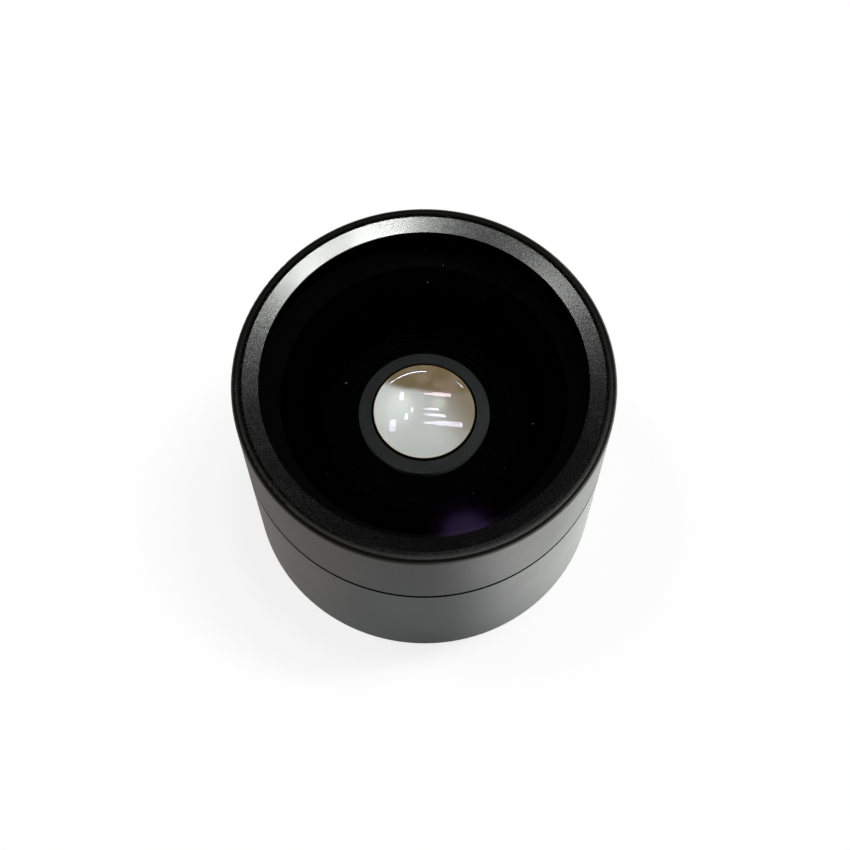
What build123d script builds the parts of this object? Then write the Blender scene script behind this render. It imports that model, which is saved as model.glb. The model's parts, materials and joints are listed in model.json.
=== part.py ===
"""Wide-angle lens attachment: an afocal converter in a two-section barrel.

The optical axis is Z, with the origin at the centre of the flat rear end, on which the part stands.
Heights are stacked upwards from that end, through the rear lens group, to the rim of the front glass.
"""

from build123d import *
from math import copysign, sqrt
import os

os.makedirs("parts", exist_ok=True)

# Shared fits
thread_clearance = 0.05
lens_clearance = 0.05
cement_gap = 0.01

# Barrel and rim
body_radius = 20.0
rim_rounding = 0.68
rim_land_width = 1.17
rim_cone_width = 1.65
rim_cone_depth = 0.4
lip_thickness = 0.25
lip_overlap = 0.57
joint_wall = 1.55
joint_engagement = 1.8
joint_gasket_thickness = 0.3
joint_gasket_width = 0.8
seam_chamfer = 0.12
spigot_wall = 1.8
base_chamfer = 0.3

# Rear socket, which takes the camera's threaded lens tube
socket_thread_radius = 17.0
socket_depth = 5.366
socket_relief_length = 1.0
socket_relief_depth = 0.3
socket_lead_chamfer = 0.4
web_thickness = 3.0

# Front glass, a negative meniscus
front_lens_thickness = 3.5
front_lens_front_radius = 140.0
front_lens_rear_radius = 18.0
front_lens_rear_land_width = 5.15
front_lens_bevel = 0.25
front_gasket_thickness = 0.4
front_gasket_width = 2.6
front_ring_thickness = 1.0
front_ring_width = 4.2
front_ring_slot_width = 1.6
front_ring_slot_depth = 0.6

# Light baffle
baffle_flange_thickness = 0.4
baffle_wall = 0.45
baffle_mouth_step = 0.3
baffle_steps = 7
baffle_nose_gap = 0.25
baffle_nose_drop = 0.2

# Second lens, a small meniscus, and its nose ring
nose_depth = 11.7
second_lens_radius = 8.0
second_lens_bevel = 1.2
second_lens_thickness = 2.3
second_lens_front_radius = 12.0
second_lens_rear_radius = 15.0
second_lens_rear_land_width = 1.2
nose_lip_gap = 0.4
nose_lip_drop = 0.15
nose_skirt_wall = 0.3
nose_skirt_length = 2.6
nose_seat_gap = 0.02
cell_neck_wall = 0.45
cell_neck_setback = 0.07
air_gap_shim_thickness = 0.15

# Cemented doublet
doublet_front_radius = 32.3
doublet_cement_radius = 18.0
doublet_rear_radius = 20.0
crown_thickness = 3.6
flint_thickness = 1.4

# Glare stop, spacer and rear lens
cell_ledge_thickness = 0.6
glare_stop_thickness = 0.1
glare_stop_width = 0.4
glare_spacer_length = 3.53
glare_spacer_flare = 3.0
glare_spacer_grooves = 5
glare_spacer_groove_depth = 0.15
rear_lens_radius = 11.4
rear_lens_land_width = 0.4
rear_lens_thickness = 4.6
rear_lens_front_radius = 30.0
rear_lens_rear_radius = 38.2
rear_washer_thickness = 0.2
rear_ring_thickness = 1.65
rear_ring_recess = 0.2
rear_ring_width = 0.7
rear_ring_thread_step = 0.5
rear_ring_slot_width = 1.1
rear_ring_slot_depth = 0.6

# Lens cell and how it is clamped in the web
cell_wall = 0.85
cell_front_wall = 1.6
cell_flange_width = 2.4
cell_flange_thickness = 1.5
focus_shim_thickness = 0.3
lock_ring_width = 2.95
lock_ring_thickness = 1.5
lock_ring_clearance = 0.1
lock_ring_notches = 4
lock_ring_notch_width = 1.4
lock_ring_notch_depth = 0.8


def sag(radius, height):
    """Depth of a spherical surface at a height from the axis: negative for a negative radius."""
    return radius - copysign(sqrt(radius**2 - height**2), radius)


def spherical_arc(vertex, radius, inner, outer):
    """Draws a lens surface from inner to outer height: a positive radius has its centre below."""
    middle = (inner + outer) / 2
    ThreePointArc(*[(h, vertex - sag(radius, h)) for h in (inner, middle, outer)])


def distinct(points):
    """Drops each point that repeats the one before it."""
    return [p for i, p in enumerate(points) if i == 0 or (Vector(p) - Vector(points[i - 1])).length > 1e-6]


def turn(*points):
    """Revolves a closed half section of (radius, height) points about the optical axis."""
    with BuildSketch(Plane.XZ) as section:
        with BuildLine():
            Polyline(*points, close=True)
        make_face()
    revolve(section.sketch, axis=Axis.Z)


def turn_ring(inner, outer, bottom, top):
    """Revolves a plain rectangular section."""
    turn((inner, bottom), (outer, bottom), (outer, top), (inner, top))


def turn_lens(edge, front, front_clear, rear, rear_clear, front_bevel=0.0, rear_bevel=0.0):
    """Revolves a lens from its front and rear surfaces, each given as (vertex height, radius).

    A flat ground land or a bevel joins each polished surface to the cylindrical edge.
    """
    front_land = front[0] - sag(front[1], front_clear)
    rear_land = rear[0] - sag(rear[1], rear_clear)
    rim = distinct([
        (front_clear, front_land),
        (edge - front_bevel, front_land),
        (edge, front_land - front_bevel),
        (edge, rear_land + rear_bevel),
        (edge - rear_bevel, rear_land),
        (rear_clear, rear_land),
    ])
    with BuildSketch(Plane.XZ) as section:
        with BuildLine():
            spherical_arc(*front, 0, front_clear)
            Polyline(*rim)
            spherical_arc(*rear, rear_clear, 0)
            Line((0, rear[0]), (0, front[0]))
        make_face()
    revolve(section.sketch, axis=Axis.Z)


def cut_slots(inner, outer, bottom, width, depth, count):
    """Cuts spanner slots upwards into the underside of a ring, across its whole width."""
    with BuildSketch(Plane.XY.offset(bottom)) as slots:
        with PolarLocations((inner + outer) / 2, count):
            Rectangle(2 * (outer - inner), width)
    extrude(slots.sketch, amount=depth, mode=Mode.SUBTRACT)


# Clear radii of the polished surfaces, inside their lands and bevels
second_lens_clear = second_lens_radius - second_lens_bevel
second_lens_rear_clear = second_lens_radius - second_lens_rear_land_width
doublet_rear_clear = second_lens_radius - glare_stop_width
rear_lens_clear = rear_lens_radius - rear_lens_land_width

# Heights of the rear group, from the base upwards
socket_floor = socket_depth
rear_ring_bottom = socket_floor + rear_ring_recess
rear_washer_bottom = rear_ring_bottom + rear_ring_thickness
rear_lens_rear_land = rear_washer_bottom + rear_washer_thickness
rear_lens_rear_vertex = rear_lens_rear_land - sag(rear_lens_rear_radius, rear_lens_clear)
rear_lens_front_vertex = rear_lens_rear_vertex + rear_lens_thickness
rear_lens_front_land = rear_lens_front_vertex - sag(rear_lens_front_radius, rear_lens_clear)
cell_ledge_bottom = rear_lens_front_land + glare_spacer_length
cell_ledge_top = cell_ledge_bottom + cell_ledge_thickness
doublet_rear_land = cell_ledge_top + glare_stop_thickness
flint_rear_vertex = doublet_rear_land + sag(doublet_rear_radius, doublet_rear_clear)
flint_front_vertex = flint_rear_vertex + flint_thickness
crown_rear_vertex = flint_front_vertex + cement_gap
crown_front_vertex = crown_rear_vertex + crown_thickness
crown_front_land = crown_front_vertex - sag(doublet_front_radius, second_lens_rear_clear)
second_lens_rear_land = crown_front_land + air_gap_shim_thickness
second_lens_rear_vertex = second_lens_rear_land + sag(second_lens_rear_radius, second_lens_rear_clear)
second_lens_front_vertex = second_lens_rear_vertex + second_lens_thickness
nose_height = second_lens_front_vertex - sag(second_lens_front_radius, second_lens_clear)

# Heights of the front glass and its clamp, from the rim downwards
rim_height = nose_height + nose_depth
cone_bottom = rim_height - rim_cone_depth
lip_bottom = cone_bottom - lip_thickness
glass_opening_radius = body_radius - rim_land_width - rim_cone_width
front_lens_radius = glass_opening_radius + lip_overlap
front_lens_rear_clear = front_lens_radius - front_lens_rear_land_width
front_lens_front_vertex = lip_bottom + sag(front_lens_front_radius, glass_opening_radius)
front_lens_rear_vertex = front_lens_front_vertex - front_lens_thickness
front_lens_rear_land = front_lens_rear_vertex - sag(front_lens_rear_radius, front_lens_rear_clear)
front_ring_top = front_lens_rear_land - front_gasket_thickness
front_ring_bottom = front_ring_top - front_ring_thickness
spigot_top = front_ring_bottom - baffle_flange_thickness
front_barrel_bottom = spigot_top - joint_engagement
rear_barrel_shoulder = front_barrel_bottom - joint_gasket_thickness

# Radii that fit one another
joint_thread_radius = body_radius - joint_wall
spigot_radius = joint_thread_radius - thread_clearance
cavity_radius = spigot_radius - spigot_wall
front_ring_inner_radius = spigot_radius - front_ring_width
baffle_mouth_radius = front_ring_inner_radius - baffle_mouth_step
cell_bore_radius = second_lens_radius + lens_clearance
cell_neck_radius = cell_bore_radius + cell_neck_wall
nose_thread_radius = cell_neck_radius + thread_clearance
nose_ring_radius = nose_thread_radius + nose_skirt_wall
nose_lip_radius = second_lens_clear + nose_lip_gap
rear_bore_radius = rear_lens_radius + lens_clearance
rear_ring_thread_radius = rear_bore_radius + rear_ring_thread_step
rear_ring_radius = rear_ring_thread_radius - thread_clearance
rear_ring_inner_radius = rear_ring_radius - rear_ring_width
cell_radius = rear_ring_thread_radius + cell_wall
cell_front_radius = cell_bore_radius + cell_front_wall
cell_flange_radius = cell_radius + cell_flange_width
web_bore_radius = cell_radius + thread_clearance
lock_ring_radius = web_bore_radius + lock_ring_width
lock_recess_radius = lock_ring_radius + lock_ring_clearance

# Heights of the cell's flange and neck
web_top = socket_floor + web_thickness
lock_recess_top = socket_floor + lock_ring_thickness
cell_flange_bottom = web_top + focus_shim_thickness
cell_flange_top = cell_flange_bottom + cell_flange_thickness
nose_lip_bottom = nose_height - nose_lip_gap + nose_seat_gap
nose_seat_bottom = nose_lip_bottom - (second_lens_radius - nose_lip_radius)
cell_top = nose_seat_bottom - cell_neck_setback
nose_ring_bottom = nose_height - nose_skirt_length
cell_shoulder = nose_ring_bottom - thread_clearance


# Front barrel: rounded rim, flat land and a shallow cone down to the lip that holds the glass
with BuildPart() as front_barrel:
    front_bore_radius = front_lens_radius + lens_clearance
    turn(
        (joint_thread_radius, front_barrel_bottom),
        (body_radius, front_barrel_bottom),
        (body_radius, rim_height),
        (body_radius - rim_land_width, rim_height),
        (glass_opening_radius, cone_bottom),
        (glass_opening_radius, lip_bottom),
        (front_bore_radius, lip_bottom),
        (front_bore_radius, front_lens_rear_land),
        (joint_thread_radius, front_lens_rear_land),
    )
    circles = front_barrel.edges().filter_by(GeomType.CIRCLE)
    fillet(circles.group_by(Axis.Z)[-1].sort_by(SortBy.RADIUS)[-1], min(rim_rounding, rim_land_width / 2))
    circles = front_barrel.edges().filter_by(GeomType.CIRCLE)
    chamfer(circles.group_by(Axis.Z)[0].sort_by(SortBy.RADIUS)[-1], seam_chamfer)

# Front glass: a weakly domed front and a deep hollow rear, with a flat land to clamp on
with BuildPart() as front_lens:
    turn_lens(
        front_lens_radius,
        (front_lens_front_vertex, front_lens_front_radius),
        front_lens_radius - front_lens_bevel,
        (front_lens_rear_vertex, front_lens_rear_radius),
        front_lens_rear_clear,
        front_bevel=front_lens_bevel,
        rear_bevel=front_lens_bevel,
    )

# Soft gasket between the front glass and its ring
with BuildPart() as front_lens_gasket:
    gasket_outer_radius = front_lens_radius - front_lens_bevel
    turn_ring(
        gasket_outer_radius - front_gasket_width,
        gasket_outer_radius,
        front_ring_top,
        front_lens_rear_land,
    )

# Threaded ring that clamps the front glass, with two spanner slots in its underside
with BuildPart() as front_retaining_ring:
    turn_ring(front_ring_inner_radius, spigot_radius, front_ring_bottom, front_ring_top)
    cut_slots(
        front_ring_inner_radius,
        spigot_radius,
        front_ring_bottom,
        front_ring_slot_width,
        front_ring_slot_depth,
        2,
    )

# Light baffle: a flange held between the two sections, and a funnel in steps down to the nose
with BuildPart() as light_baffle:
    funnel_radius = nose_ring_radius + baffle_nose_gap
    funnel_bottom = nose_height - baffle_nose_drop
    tread = (baffle_mouth_radius - funnel_radius) / baffle_steps
    riser = (front_ring_bottom - funnel_bottom) / baffle_steps
    steps = []
    for i in range(baffle_steps):
        steps.append((baffle_mouth_radius - i * tread, front_ring_bottom - i * riser))
        steps.append((baffle_mouth_radius - i * tread, front_ring_bottom - (i + 1) * riser))
    turn(
        (spigot_radius, spigot_top),
        (spigot_radius, front_ring_bottom),
        *steps,
        (funnel_radius, funnel_bottom),
        (funnel_radius, funnel_bottom - riser - baffle_wall),
        (baffle_mouth_radius + baffle_wall, spigot_top),
    )

# Rear barrel: male joint spigot, cavity round the lens cell, web, and the threaded rear socket
with BuildPart() as rear_barrel:
    relief_radius = socket_thread_radius + socket_relief_depth
    relief_bottom = socket_floor - socket_relief_length
    turn(
        (socket_thread_radius, 0),
        (body_radius, 0),
        (body_radius, rear_barrel_shoulder),
        (spigot_radius, rear_barrel_shoulder),
        (spigot_radius, spigot_top),
        (cavity_radius, spigot_top),
        (cavity_radius, web_top),
        (web_bore_radius, web_top),
        (web_bore_radius, lock_recess_top),
        (lock_recess_radius, lock_recess_top),
        (lock_recess_radius, socket_floor),
        (relief_radius, socket_floor),
        (relief_radius, relief_bottom),
        (socket_thread_radius, relief_bottom),
    )
    rim_circles = rear_barrel.edges().filter_by(GeomType.CIRCLE).group_by(Axis.Z)[0]
    chamfer(rim_circles.sort_by(SortBy.RADIUS)[0], socket_lead_chamfer)
    rim_circles = rear_barrel.edges().filter_by(GeomType.CIRCLE).group_by(Axis.Z)[0]
    chamfer(rim_circles.sort_by(SortBy.RADIUS)[-1], base_chamfer)
    shoulder = rear_barrel.edges().filter_by(GeomType.CIRCLE).filter_by_position(
        Axis.Z, rear_barrel_shoulder, rear_barrel_shoulder
    )
    chamfer(shoulder.sort_by(SortBy.RADIUS)[-1], seam_chamfer)

# Thin gasket that shows as the black seam
with BuildPart() as joint_gasket:
    turn_ring(
        spigot_radius + thread_clearance,
        spigot_radius + thread_clearance + joint_gasket_width,
        rear_barrel_shoulder,
        front_barrel_bottom,
    )

# Lens cell: neck for the nose ring, bore for the front stack, ledge, rear bore, flange and thread
with BuildPart() as lens_cell:
    turn(
        (cell_bore_radius, cell_top),
        (cell_neck_radius, cell_top),
        (cell_neck_radius, cell_shoulder),
        (cell_front_radius, cell_shoulder),
        (cell_front_radius, cell_ledge_top + cell_radius - cell_front_radius),
        (cell_radius, cell_ledge_top),
        (cell_radius, cell_flange_top),
        (cell_flange_radius, cell_flange_top),
        (cell_flange_radius, cell_flange_bottom),
        (cell_radius, cell_flange_bottom),
        (cell_radius, socket_floor),
        (rear_ring_thread_radius, socket_floor),
        (rear_ring_thread_radius, rear_lens_rear_land),
        (rear_bore_radius, rear_lens_rear_land),
        (rear_bore_radius, cell_ledge_bottom),
        (doublet_rear_clear, cell_ledge_bottom),
        (doublet_rear_clear, cell_ledge_top),
        (cell_bore_radius, cell_ledge_top),
    )

# Nose ring: a screwed cap with a dished face, whose lip bears on the second lens's bevel
with BuildPart() as nose_ring:
    turn(
        (nose_thread_radius, nose_ring_bottom),
        (nose_ring_radius, nose_ring_bottom),
        (nose_ring_radius, nose_height),
        (nose_lip_radius, nose_height - nose_lip_drop),
        (nose_lip_radius, nose_lip_bottom),
        (second_lens_radius, nose_seat_bottom),
        (nose_thread_radius, nose_seat_bottom),
    )

# Second lens: a small steep meniscus with a broad front bevel
with BuildPart() as second_lens:
    turn_lens(
        second_lens_radius,
        (second_lens_front_vertex, second_lens_front_radius),
        second_lens_clear,
        (second_lens_rear_vertex, second_lens_rear_radius),
        second_lens_rear_clear,
        front_bevel=second_lens_radius - second_lens_clear,
    )

# Thin shim that sets the air gap behind the second lens
with BuildPart() as air_gap_shim:
    turn_ring(second_lens_rear_clear, second_lens_radius, crown_front_land, second_lens_rear_land)

# Crown of the cemented doublet
with BuildPart() as doublet_crown:
    turn_lens(
        second_lens_radius,
        (crown_front_vertex, doublet_front_radius),
        second_lens_rear_clear,
        (crown_rear_vertex, -doublet_cement_radius),
        second_lens_radius,
    )

# Flint of the cemented doublet
with BuildPart() as doublet_flint:
    turn_lens(
        second_lens_radius,
        (flint_front_vertex, -doublet_cement_radius),
        second_lens_radius,
        (flint_rear_vertex, doublet_rear_radius),
        doublet_rear_clear,
    )

# Thin glare stop under the doublet
with BuildPart() as glare_stop:
    turn_ring(doublet_rear_clear, second_lens_radius, cell_ledge_top, doublet_rear_land)

# Brass sleeve between the ledge and the rear lens, with shallow glare grooves in its flared bore
with BuildPart() as glare_spacer:
    spacer_throat_radius = rear_lens_clear - glare_spacer_flare
    pitch = glare_spacer_length / glare_spacer_grooves
    groove_spread = (glare_spacer_flare - glare_spacer_groove_depth) / (glare_spacer_grooves - 1)
    grooves = []
    for i in range(glare_spacer_grooves):
        crest = spacer_throat_radius + i * groove_spread
        top = cell_ledge_bottom - i * pitch
        grooves.append((crest, top))
        grooves.append((crest + glare_spacer_groove_depth, top - pitch))
    turn(
        (rear_lens_radius, rear_lens_front_land),
        (rear_lens_radius, cell_ledge_bottom),
        *grooves,
    )

# Rear lens: biconvex, with ground lands on both sides
with BuildPart() as rear_lens:
    turn_lens(
        rear_lens_radius,
        (rear_lens_front_vertex, rear_lens_front_radius),
        rear_lens_clear,
        (rear_lens_rear_vertex, -rear_lens_rear_radius),
        rear_lens_clear,
    )

# Soft washer under the rear lens
with BuildPart() as rear_lens_washer:
    turn_ring(rear_lens_clear, rear_lens_radius, rear_washer_bottom, rear_lens_rear_land)

# Threaded ring that clamps the rear lens, with two spanner slots in its underside
with BuildPart() as rear_retaining_ring:
    turn_ring(rear_ring_inner_radius, rear_ring_radius, rear_ring_bottom, rear_washer_bottom)
    cut_slots(
        rear_ring_inner_radius,
        rear_ring_radius,
        rear_ring_bottom,
        rear_ring_slot_width,
        rear_ring_slot_depth,
        2,
    )

# Thin ring under the cell's flange that sets the focus
with BuildPart() as focus_shim:
    turn_ring(web_bore_radius, cell_flange_radius, web_top, cell_flange_bottom)

# Notched nut that clamps the cell to the web from behind
with BuildPart() as cell_lock_ring:
    turn_ring(web_bore_radius, lock_ring_radius, socket_floor, lock_recess_top)
    with BuildSketch(Plane.XY.offset(socket_floor)):
        with PolarLocations(lock_ring_radius, lock_ring_notches):
            Rectangle(lock_ring_width, lock_ring_notch_width)
    extrude(amount=lock_ring_notch_depth, mode=Mode.SUBTRACT)


pieces = {
    "front_barrel": front_barrel,
    "front_lens": front_lens,
    "front_lens_gasket": front_lens_gasket,
    "front_retaining_ring": front_retaining_ring,
    "light_baffle": light_baffle,
    "rear_barrel": rear_barrel,
    "joint_gasket": joint_gasket,
    "lens_cell": lens_cell,
    "nose_ring": nose_ring,
    "second_lens": second_lens,
    "air_gap_shim": air_gap_shim,
    "doublet_crown": doublet_crown,
    "doublet_flint": doublet_flint,
    "glare_stop": glare_stop,
    "glare_spacer": glare_spacer,
    "rear_lens": rear_lens,
    "rear_lens_washer": rear_lens_washer,
    "rear_retaining_ring": rear_retaining_ring,
    "focus_shim": focus_shim,
    "cell_lock_ring": cell_lock_ring,
}
for name, piece in pieces.items():
    piece.part.label = name
    export_step(piece.part, f"parts/{name}.step")
print(f"rim at {rim_height:.3f} mm, seam at {rear_barrel_shoulder:.3f} to {front_barrel_bottom:.3f} mm")
print(f"front glass from {front_lens_rear_land:.3f} to {front_lens_front_vertex:.3f} mm")
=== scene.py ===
"""Wide-angle lens attachment, dressed and lit for a close studio picture.

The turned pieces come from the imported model, in metres, with the optical axis on Z and the rear end on
Z = 0. This script gives them their finishes, adds the parts that are too fine for the solids, such as the
rear socket's thread and the dust on the front glass, and sets the floor, the lamps and the camera.
"""

from dataclasses import dataclass, field
from enum import Enum
import json
import logging
import math
from typing import Any, Union

import bpy
from mathutils import Matrix, Vector
import numpy as np

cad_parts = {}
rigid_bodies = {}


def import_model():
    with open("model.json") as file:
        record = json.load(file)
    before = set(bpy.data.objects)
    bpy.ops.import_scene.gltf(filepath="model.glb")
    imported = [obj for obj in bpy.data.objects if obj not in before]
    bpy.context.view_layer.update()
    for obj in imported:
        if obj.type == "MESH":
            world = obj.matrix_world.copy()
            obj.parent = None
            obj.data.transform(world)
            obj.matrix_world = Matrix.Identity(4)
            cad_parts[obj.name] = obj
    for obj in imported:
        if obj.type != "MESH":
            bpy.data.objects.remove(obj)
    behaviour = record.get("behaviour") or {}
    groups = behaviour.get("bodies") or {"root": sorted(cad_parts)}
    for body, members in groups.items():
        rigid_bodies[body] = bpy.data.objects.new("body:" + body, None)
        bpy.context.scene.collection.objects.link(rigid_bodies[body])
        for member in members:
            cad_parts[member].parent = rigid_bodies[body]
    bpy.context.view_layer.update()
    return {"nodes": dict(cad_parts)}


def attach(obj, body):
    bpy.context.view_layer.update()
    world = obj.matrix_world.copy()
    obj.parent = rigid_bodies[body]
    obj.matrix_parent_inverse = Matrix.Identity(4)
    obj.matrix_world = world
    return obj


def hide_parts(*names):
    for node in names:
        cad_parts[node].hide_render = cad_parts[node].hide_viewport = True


LOG = logging.getLogger("lens_attachment")
MM = 0.001
Colour = tuple[float, float, float]
Number = Union[int, float, "Value"]

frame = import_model()


class Role(Enum):
    """What a lamp is for."""

    LIGHT = "lights the surfaces"
    GHOST = "shows only where the lenses mirror it"


class LampShape(Enum):
    """The outline of a lamp's face."""

    RECTANGLE = "RECTANGLE"
    ELLIPSE = "ELLIPSE"


class Value:
    """A number's socket, on which arithmetic adds Math nodes."""

    def __init__(self, graph: "Graph", socket: bpy.types.NodeSocket) -> None:
        """Wraps one output socket of the graph."""
        self.graph = graph
        self.socket = socket

    def _math(self, operation: str, *terms: Number) -> "Value":
        """Adds one Math node.

        Args:
            operation: the Math node's operation.
            terms: its inputs, in order.

        Returns:
            The node's result.
        """
        return self.graph.value("ShaderNodeMath", {"operation": operation}, dict(enumerate(terms)))

    def __add__(self, other: Number) -> "Value":
        """self + other."""
        return self._math("ADD", self, other)

    __radd__ = __add__

    def __mul__(self, other: Number) -> "Value":
        """self * other."""
        return self._math("MULTIPLY", self, other)

    __rmul__ = __mul__

    def __sub__(self, other: Number) -> "Value":
        """self - other."""
        return self._math("SUBTRACT", self, other)

    def __rsub__(self, other: Number) -> "Value":
        """other - self."""
        return self._math("SUBTRACT", other, self)

    def __gt__(self, other: Number) -> "Value":
        """1 where self is greater than other, and 0 elsewhere."""
        return self._math("GREATER_THAN", self, other)

    def root(self) -> "Value":
        """Square root."""
        return self._math("SQRT", self)

    def wave(self, length: float) -> "Value":
        """A sine from -1 to 1 that repeats after each length."""
        return self._math("SINE", self * (2 * math.pi / length))

    def step(self, low: float, high: float) -> "Value":
        """A soft step: 0 below low, 1 above high, and smooth between them.

        Args:
            low: where the step begins.
            high: where it ends; below low, the step falls instead of rising.

        Returns:
            The step's value.
        """
        inputs = {"Value": self, "From Min": low, "From Max": high}
        return self.graph.value("ShaderNodeMapRange", {"interpolation_type": "SMOOTHSTEP"}, inputs)


class Graph:
    """The node tree of a material or of the world."""

    def __init__(self, owner: Any) -> None:
        """Empties the owner's node tree.

        Args:
            owner: a material or a world.
        """
        owner.use_nodes = True
        self.tree = owner.node_tree
        self.tree.nodes.clear()

    def node(self, kind: str, settings: dict[str, Any], inputs: dict[Any, Any]) -> bpy.types.Node:
        """Adds any node: its settings first, then the values or links of its sockets.

        Args:
            kind: the node's type.
            settings: its properties.
            inputs: socket name or number to a number, a tuple, a Value, a socket or a node.

        Returns:
            The new node.
        """
        node = self.tree.nodes.new(kind)
        for name, setting in settings.items():
            setattr(node, name, setting)
        for key, given in inputs.items():
            if isinstance(given, Value):
                given = given.socket
            elif isinstance(given, bpy.types.Node):
                given = given.outputs[0]
            if isinstance(given, bpy.types.NodeSocket):
                self.tree.links.new(given, node.inputs[key])
            elif isinstance(given, tuple) and len(given) == 3 and node.inputs[key].type == "RGBA":
                node.inputs[key].default_value = (*given, 1.0)
            else:
                node.inputs[key].default_value = given
        return node

    def value(self, kind: str, settings: dict[str, Any], inputs: dict[Any, Any], out: Any = 0) -> Value:
        """Adds a node and wraps one of its outputs.

        Args:
            kind: the node's type.
            settings: its properties.
            inputs: its sockets' values or links.
            out: the name or number of the output to wrap.

        Returns:
            The wrapped output.
        """
        return Value(self, self.node(kind, settings, inputs).outputs[out])

    def path(self, name: str) -> Value:
        """The Light Path output of that name."""
        return self.value("ShaderNodeLightPath", {}, {}, name)

    def coordinates(self, space: str = "Object") -> bpy.types.NodeSocket:
        """The Texture Coordinate output of that name."""
        return self.node("ShaderNodeTexCoord", {}, {}).outputs[space]

    def axes(self, vector: bpy.types.NodeSocket) -> tuple[Value, Value, Value]:
        """The three components of a vector."""
        split = self.node("ShaderNodeSeparateXYZ", {}, {0: vector})
        return tuple(Value(self, out) for out in split.outputs)

    def noise(self, size_mm: float, detail: float = 2.0, roughness: float = 0.5) -> Value:
        """Solid noise on Object coordinates.

        Args:
            size_mm: the size of one blot, in millimetres.
            detail: how many finer layers it has.
            roughness: how strong each finer layer is.

        Returns:
            The noise, from 0 to 1 about 0.5.
        """
        inputs = {
            "Vector": self.coordinates(),
            "Scale": 1.0 / (size_mm * MM),
            "Detail": detail,
            "Roughness": roughness,
        }
        return self.value("ShaderNodeTexNoise", {}, inputs)

    def mix(self, factor: Number, low: Any, high: Any) -> bpy.types.NodeSocket:
        """Mixes two colours.

        Args:
            factor: 0 gives low and 1 gives high.
            low: a colour or a colour's socket.
            high: a colour or a colour's socket.

        Returns:
            The mixed colour.
        """
        node = self.node("ShaderNodeMix", {"data_type": "RGBA"}, {"Factor": factor, 6: low, 7: high})
        return node.outputs[2]

    def bump(self, height: Value, depth_mm: float) -> bpy.types.Node:
        """A Bump node.

        Args:
            height: the relief, from 0 to 1.
            depth_mm: how deep it is, in millimetres.

        Returns:
            The node, for a Normal socket.
        """
        inputs = {"Strength": 1.0, "Distance": depth_mm * MM, "Height": height}
        return self.node("ShaderNodeBump", {}, inputs)

    def radius(self) -> Value:
        """Distance from the optical axis, in metres, on Object coordinates."""
        x, y, _ = self.axes(self.coordinates())
        return (x * x + y * y).root()

    def finish(self, shader: Any) -> None:
        """Links a shader to the output."""
        self.node("ShaderNodeOutputMaterial", {}, {"Surface": shader})


def new_material(name: str) -> tuple[bpy.types.Material, Graph]:
    """A new material of that name and its empty graph."""
    material = bpy.data.materials.new(name)
    return material, Graph(material)


@dataclass(frozen=True)
class AnodisedBlack:
    """Black anodised aluminium, blasted to an even satin before it was dyed."""

    name: str
    base: Colour = (0.014, 0.014, 0.012)
    worn: Colour = (0.05, 0.049, 0.045)
    roughness: float = 0.36
    roughness_spread: float = 0.1
    ior: float = 1.5
    grain_mm: float = 0.16
    grain_depth_mm: float = 0.002
    fleck_share: float = 0.62
    fleck_strength: float = 0.85
    cloud_mm: float = 6.0
    cloud_spread: float = 0.08
    # painted seam shadow: its band of heights, the radius beyond which it lies, and its black
    seam_shadow_mm: tuple[float, float] = (19.68, 20.34)
    seam_shadow_inner_mm: float = 19.0
    seam_shadow_black: Colour = (0.001, 0.001, 0.001)

    def layers(self, g: Graph) -> tuple[Any, Value, Value]:
        """Works out what changes over the surface.

        Args:
            g: the material's graph.

        Returns:
            The colour, the roughness and the grain's height.
        """
        grain = g.noise(self.grain_mm, detail=3.0, roughness=0.65)
        fleck = g.noise(self.grain_mm * 1.4, detail=2.0).step(self.fleck_share, self.fleck_share + 0.1)
        cloud = g.noise(self.cloud_mm, detail=2.0)
        colour = g.mix(fleck * self.fleck_strength, self.base, self.worn)
        spread = (grain - 0.5) * self.roughness_spread + (cloud - 0.5) * self.cloud_spread
        rough = self.roughness + spread
        return colour, rough, grain

    def paint_seam_shadow(self, g: Graph, satin: bpy.types.Node) -> bpy.types.Node:
        """Paints a shadow along the seam: a dull black band on both sides of it, wider than its groove.

        Args:
            g: the material's graph.
            satin: the finish elsewhere.

        Returns:
            The finish with the painted seam shadow.
        """
        _, _, height = g.axes(g.coordinates())
        low, high = (limit * MM for limit in self.seam_shadow_mm)
        # painted shadow: a dull black band round the outer wall at the seam
        seam = (height > low) * (1.0 - (height > high)) * (g.radius() > self.seam_shadow_inner_mm * MM)
        inputs = {"Base Color": self.seam_shadow_black, "Roughness": 0.9, "Specular IOR Level": 0.05}
        dull = g.node("ShaderNodeBsdfPrincipled", {}, inputs)
        return g.node("ShaderNodeMixShader", {}, {0: seam, 1: satin, 2: dull})

    def build(self) -> bpy.types.Material:
        """Makes the material.

        Returns:
            A dark satin with a fine blasted grain, pale flecks and slow changes of sheen.
        """
        material, g = new_material(self.name)
        colour, rough, grain = self.layers(g)
        bump = g.bump(grain, self.grain_depth_mm)
        inputs = {"Base Color": colour, "Roughness": rough, "IOR": self.ior, "Normal": bump}
        g.finish(self.paint_seam_shadow(g, g.node("ShaderNodeBsdfPrincipled", {}, inputs)))
        return material


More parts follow.
